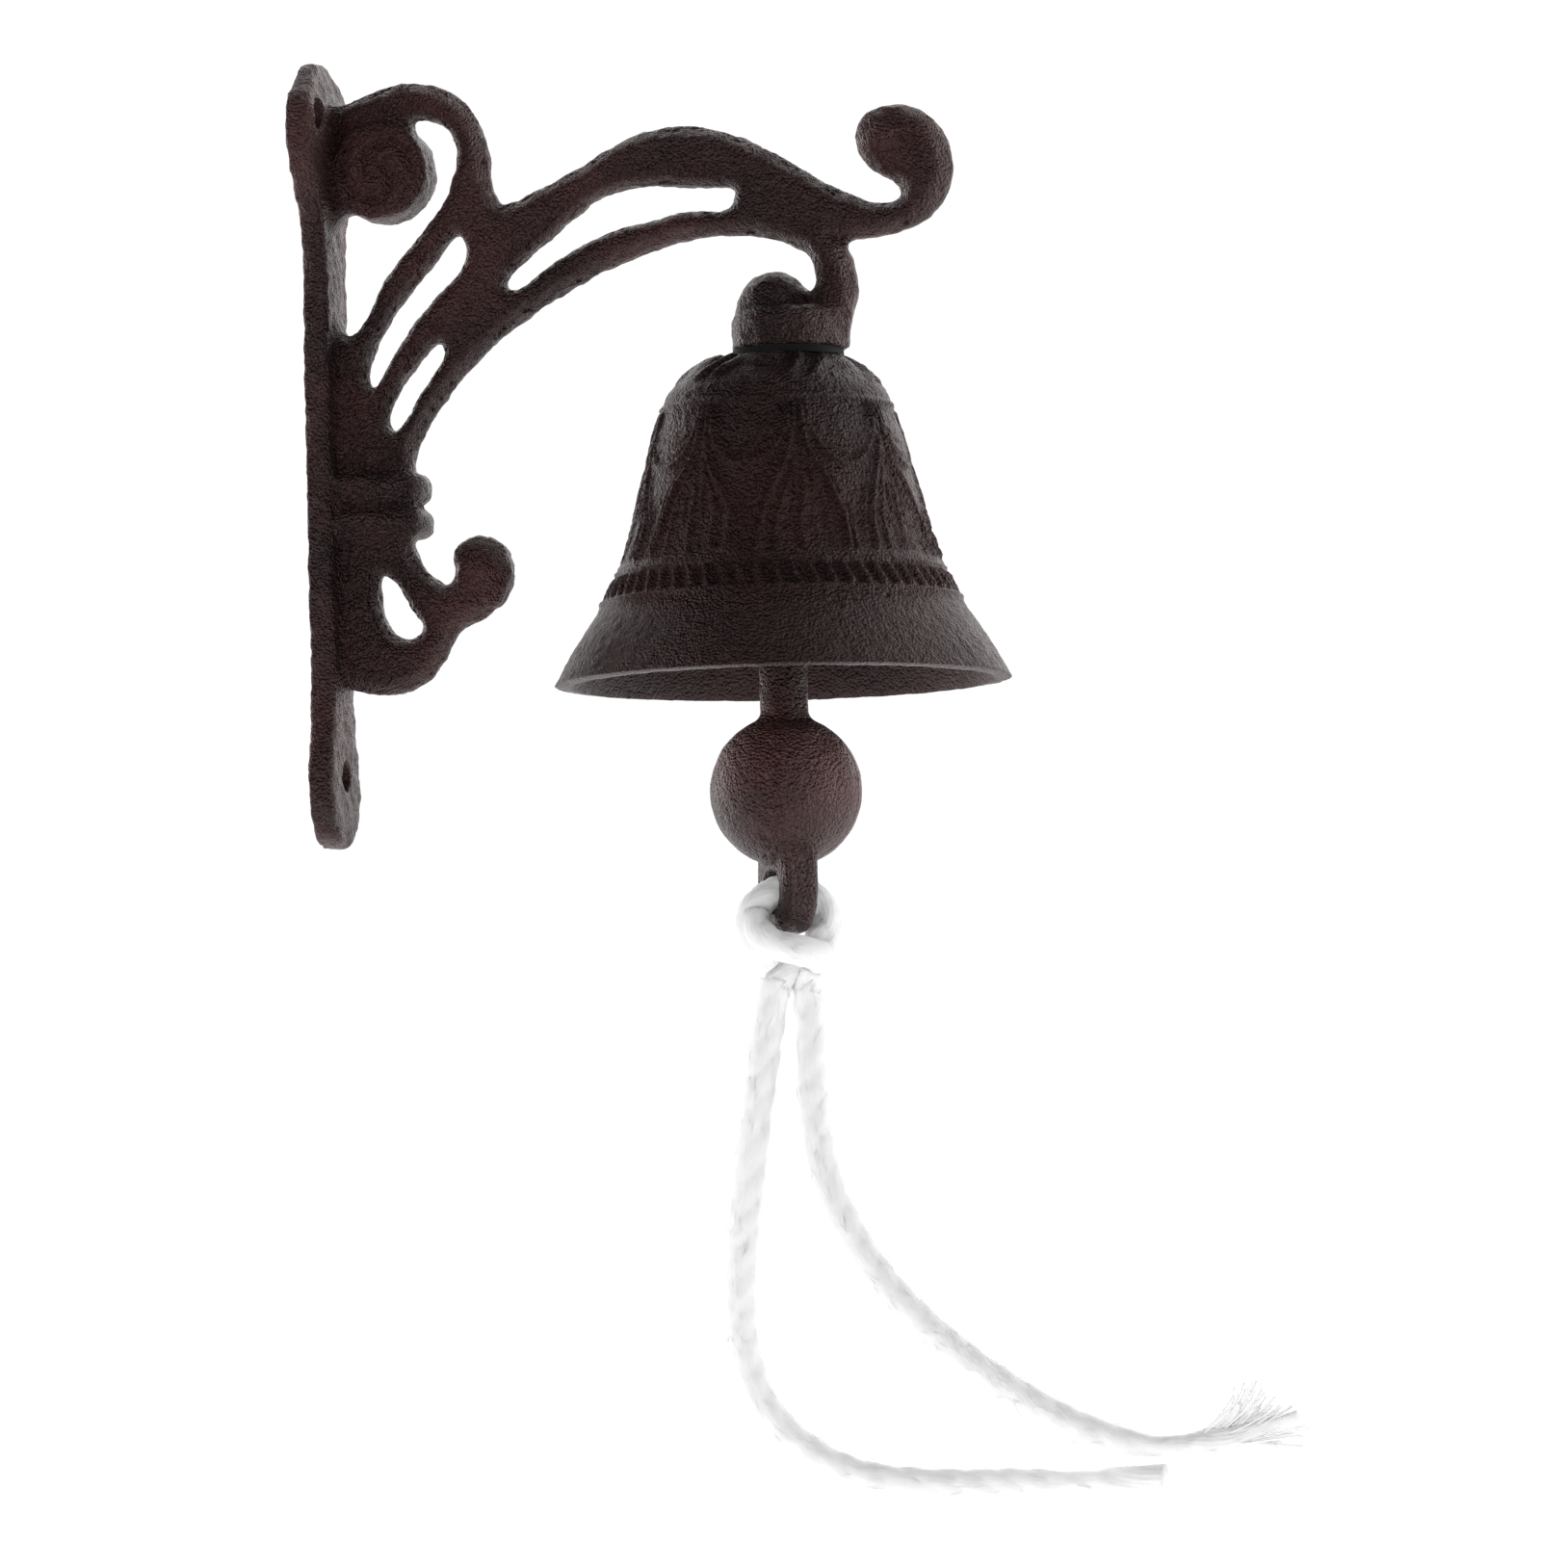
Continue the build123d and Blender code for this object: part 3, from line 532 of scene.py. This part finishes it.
# The bell: cast iron like the bracket, with leaf work on its crown, a thin ring, swags of drapery
# that hang between gathered folds, a band of slanted ribs between two rings, and a plain flared lip.
bell_axis = 0.0995
bell_top = -0.0546
outer_side = [(3.3, 0.0), (12.2, 0.0), (13.6, 0.35), (15.8, 1.3), (19.3, 3.6), (21.4, 5.8), (23.0, 7.9),
              (24.0, 11.0), (24.7, 13.5), (25.5, 15.9), (26.5, 19.8), (27.4, 23.9), (28.6, 27.9),
              (29.7, 32.0), (30.8, 36.0), (32.2, 40.0), (33.6, 43.6), (35.2, 47.3), (37.4, 51.2),
              (39.6, 54.6), (42.0, 58.2), (44.4, 62.0), (46.4, 65.6), (47.5, 67.6)]
inner_side = [(44.2, 68.0), (42.6, 65.6), (40.6, 62.2), (38.4, 58.4), (36.0, 55.0), (33.4, 50.6),
              (30.6, 45.0), (28.0, 38.0), (25.6, 29.0), (23.2, 20.6), (21.2, 13.0), (18.6, 7.4),
              (14.5, 4.9), (10.0, 4.45), (3.3, 4.4)]


def fine_profile(points, step):
    """Points along a turned profile, close enough together to carry the relief."""
    curve = bpy.data.curves.new("profile", "CURVE")
    curve.dimensions = "3D"
    curve.resolution_u = 12
    spline = curve.splines.new("BEZIER")
    spline.bezier_points.add(len(points) - 1)
    for knot, (radius, depth) in zip(spline.bezier_points, points):
        knot.co = (radius, 0.0, -depth)
        knot.handle_left_type = knot.handle_right_type = "AUTO"
    holder = bpy.data.objects.new("profile", curve)
    bpy.context.scene.collection.objects.link(holder)
    bpy.context.view_layer.update()
    lined = bpy.data.meshes.new_from_object(holder)
    places = np.array([(vertex.co.x, vertex.co.z) for vertex in lined.vertices])
    bpy.data.objects.remove(holder)
    bpy.data.curves.remove(curve)
    bpy.data.meshes.remove(lined)
    run = np.concatenate([[0.0], np.cumsum(np.linalg.norm(np.diff(places, axis=0), axis=1))])
    wanted = np.linspace(0.0, run[-1], int(run[-1] / step))
    return np.stack([np.interp(wanted, run, places[:, axis]) for axis in range(2)], axis=1)


def ridge(distance, width):
    """A rounded ridge, one high at its middle."""
    return np.exp(-(distance / width) ** 2)


# The ornament's depths below the crown, in millimetres.
leaf_edge, thin_ring, drapery_top, swag_top, drapery_foot = 6.2, 10.6, 11.4, 12.2, 43.2
hem_ring, upper_ring, band_top, band_foot, lip_ring = 43.6, 44.9, 45.6, 50.4, 51.0
# The drapery repeats eight times. A swag spans the degrees that a fold's top leaves free.
repeat, first_fold, fold_top, swag_span = 45.0, 69.0, 4.2, 18.3
# Brick-like courses lie between the lower folds: their height, and half a brick in degrees.
course, half_brick = 3.6, 3.6
# Each swag's sag, width and height, and each fold's turns at six depths, its width and its height.
swag_lines = ((12.3, 0.68, 0.78), (9.6, 0.55, 0.42), (6.6, 0.55, 0.32))
fold_depths = (11.5, 20.0, 24.0, 29.5, 35.0, 43.5)
fold_lines = (((1.5, 2.8, 5.6, 12.0, 16.0, 16.5), 0.75, 0.90),
              ((0.4, 0.9, 2.2, 7.0, 10.0, 10.5), 0.55, 0.42),
              ((3.6, 4.6, 9.0, 15.6, 19.6, 20.0), 0.55, 0.38))


def bell_relief(turn, depth, radius, sway_turn, sway_depth):
    """How far the ornament stands out, in millimetres, at a turn in degrees and a depth in millimetres."""
    out = 0.72 * ridge(depth - thin_ring, 0.60) + 0.55 * ridge(depth - upper_ring, 0.5)
    out += 0.30 * ridge(depth - hem_ring, 0.5) + 0.75 * ridge(depth - lip_ring, 0.55)
    band = np.clip((depth - band_top) / 0.6, 0, 1) * np.clip((band_foot - depth) / 0.6, 0, 1)
    lean = turn + (band_foot - depth) * 0.6
    out += band * 0.7 * np.clip(np.cos(np.radians(lean * 60.0)), -0.4, 1.0)
    turn = turn + sway_turn
    depth = depth + sway_depth
    part = (turn + first_fold) % repeat
    across = np.abs(np.where(part > repeat / 2.0, part - repeat, part))
    wide = radius * math.pi / 180.0
    zone = np.clip((depth - drapery_top) / 0.8, 0, 1) * np.clip((drapery_foot - depth) / 0.8, 0, 1)
    swag = np.zeros(len(turn))
    for sag, width, height in swag_lines:
        middle = np.clip(1.0 - (across - fold_top) / swag_span, 0.0, 0.999)
        drop = swag_top + sag * np.sqrt(1.0 - middle ** 2)
        slope = sag * middle / np.sqrt(1.0 - middle ** 2) / (swag_span * wide)
        line = ridge((depth - drop) / np.sqrt(1.0 + slope ** 2), width)
        swag = np.maximum(swag, height * line * (across > 3.6))
    fold = np.zeros(len(turn))
    for path, width, height in fold_lines:
        place = np.interp(depth, fold_depths, path)
        fold = np.maximum(fold, height * ridge((across - place) * wide, width))
    fold = np.maximum(fold, 0.5 * ridge(across * wide, 0.6) * np.clip((depth - 26.0) / 3.0, 0, 1))
    out += zone * np.maximum(swag, fold)
    courses = ridge(((depth + 0.6) % course) - course / 2.0, 0.34)
    offset = np.where((depth + 0.6) % (2.0 * course) > course, half_brick, 0.0)
    joints = ridge((((turn + offset) % (2.0 * half_brick)) - half_brick) * wide, 0.34)
    out -= zone * 0.24 * np.maximum(courses, joints) * np.clip((depth - 30.0) / 3.0, 0, 1)
    leaf = (depth < leaf_edge) & (radius > 13.4)
    curl = np.sin(np.radians(turn * 12.0) + 2.4 * np.sin(np.radians(turn * 6.0)) + depth * 1.1)
    out += np.where(leaf, 0.60 * np.clip(curl, -0.4, 1.0) * np.clip((leaf_edge - depth) / 1.0, 0, 1), 0)
    return out


outer = fine_profile(outer_side, 0.62)
inner = fine_profile(inner_side, 1.6)
profile = np.concatenate([outer, inner])
bell_mesh = bpy.data.meshes.new("cast_bell")
bell_mesh.from_pydata([(radius / 1000.0, 0.0, height / 1000.0) for radius, height in profile],
                      [(index, (index + 1) % len(profile)) for index in range(len(profile))], [])
cast_bell = bpy.data.objects.new("cast_bell", bell_mesh)
bpy.context.scene.collection.objects.link(cast_bell)
bpy.ops.object.select_all(action="DESELECT")
cast_bell.select_set(True)
bpy.context.view_layer.objects.active = cast_bell
bpy.ops.object.mode_set(mode="EDIT")
bpy.ops.mesh.select_all(action="SELECT")
bpy.ops.mesh.spin(steps=480, dupli=False, angle=2.0 * math.pi, center=(0, 0, 0), axis=(0, 0, 1))
bpy.ops.mesh.select_all(action="SELECT")
bpy.ops.mesh.remove_doubles(threshold=0.00001)
bpy.ops.mesh.normals_make_consistent(inside=False)
bpy.ops.object.mode_set(mode="OBJECT")
places, normals = read_places(bell_mesh)
radius = np.hypot(places[:, 0], places[:, 1]) * 1000.0
turn = np.degrees(np.arctan2(places[:, 1], places[:, 0]))
depth = -places[:, 2] * 1000.0
outside = (normals[:, 0] * places[:, 0] + normals[:, 1] * places[:, 1] > 0) | (depth < 0.01)
sway_turn = bumps(places, 95.0) * 2.4
sway_offset = Vector((3.0, 5.0, 1.0))
sway_depth = np.array([noise.noise(Vector(place) * 105.0 + sway_offset) for place in places]) * 0.9
relief = bell_relief(turn, depth, radius, sway_turn, sway_depth)
push = np.where(outside & (depth > 0.05) & (depth < 67.0), relief, 0.0) / 1000.0
rough = np.array([noise.fractal(Vector(place) * 420.0, 0.8, 2.1, 4) for place in places]) * 0.00017
rough = np.where((depth < 0.3) & (radius < 13.0), 0.0, rough)
places += normals * (push + rough)[:, None]
places += np.array([bell_axis, 0.0, bell_top])
write_places(bell_mesh, places)
bell_mesh.shade_smooth()
# The bell's paint gets a quarter less brown, so it comes out darker than the bracket and the clapper.
bell_iron = painted_iron("bell_iron", 0.00062, 0.75, 0.36)
bell_mesh.materials.append(bell_iron)
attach(cast_bell, "bracket_and_bell")
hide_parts("bell")


# The clapper: a plain iron casting, stem, ball and lower eye in one, with a faint parting line
# where the halves of its mould met. It hangs from a bent wire link.
# The clapper's paint gets twice the brown: painted light, a lighter copy of the same iron standing in for the
# light the floor throws up onto it.
clapper_iron = painted_iron("clapper_iron", 0.0006, 2.0, 0.6)
cast_clapper = casting("cast_clapper", "clapper", 0.0005, 4, 0.00012)
places, normals = read_places(cast_clapper.data)
seam_side, seam_top, seam_height, seam_step = 0.0026, -0.134, 0.00022, 0.00012
from_seam = places[:, 0] - bell_axis - seam_side
seam = seam_height * ridge(from_seam, 0.0005) - seam_step * (from_seam > 0)
seam += seam_height * bumps(places, 700.0) * ((from_seam < 0) & (from_seam > -0.006))
seam *= (places[:, 1] < -0.001) & (places[:, 2] < seam_top)
places += normals * seam[:, None]
write_places(cast_clapper.data, places)
cast_clapper.data.materials.clear()
cast_clapper.data.materials.append(clapper_iron)
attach(cast_clapper, "clapper")
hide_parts("clapper")


# The small fittings in the crown: a zinc-plated eye bolt, nut, washer and wire link, and a black
# rubber washer between the lug and the bell.
def fitting_metal():
    """Dull zinc plate with a fine grain."""
    material = bpy.data.materials.new("zinc_plate")
    material.use_nodes = True
    surface = material.node_tree.nodes["Principled BSDF"]
    start = Look(material.node_tree)
    place = start.node("ShaderNodeTexCoord", {}, {}, "Object")
    grain = start.node("ShaderNodeTexNoise", {}, {"Vector": place, "Scale": 1500.0, "Detail": 3.0})
    tone = start.node("ShaderNodeMix", {"data_type": "RGBA"},
                      {0: grain, 6: (0.22, 0.22, 0.23, 1.0), 7: (0.42, 0.42, 0.43, 1.0)}, 2)
    material.node_tree.links.new(tone.socket, surface.inputs["Base Color"])
    material.node_tree.links.new((0.32 + 0.25 * grain).socket, surface.inputs["Roughness"])
    surface.inputs["Metallic"].default_value = 1.0
    return material


def washer_rubber():
    """Black rubber, matt and slightly dusty."""
    material = bpy.data.materials.new("black_rubber")
    material.use_nodes = True
    surface = material.node_tree.nodes["Principled BSDF"]
    start = Look(material.node_tree)
    place = start.node("ShaderNodeTexCoord", {}, {}, "Object")
    dust = start.node("ShaderNodeTexNoise", {}, {"Vector": place, "Scale": 900.0, "Detail": 4.0})
    tone = start.node("ShaderNodeMix", {"data_type": "RGBA"},
                      {0: dust, 6: (0.004, 0.004, 0.004, 1.0), 7: (0.012, 0.012, 0.012, 1.0)}, 2)
    material.node_tree.links.new(tone.socket, surface.inputs["Base Color"])
    material.node_tree.links.new((0.6 + 0.3 * dust).socket, surface.inputs["Roughness"])
    surface.inputs["Specular IOR Level"].default_value = 0.15
    return material


zinc = fitting_metal()
for node in ("eye_bolt", "crown_nut", "crown_washer", "hook_link"):
    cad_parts[node].data.materials.clear()
    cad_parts[node].data.materials.append(zinc)
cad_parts["spacer_washer"].data.materials.clear()
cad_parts["spacer_washer"].data.materials.append(washer_rubber())
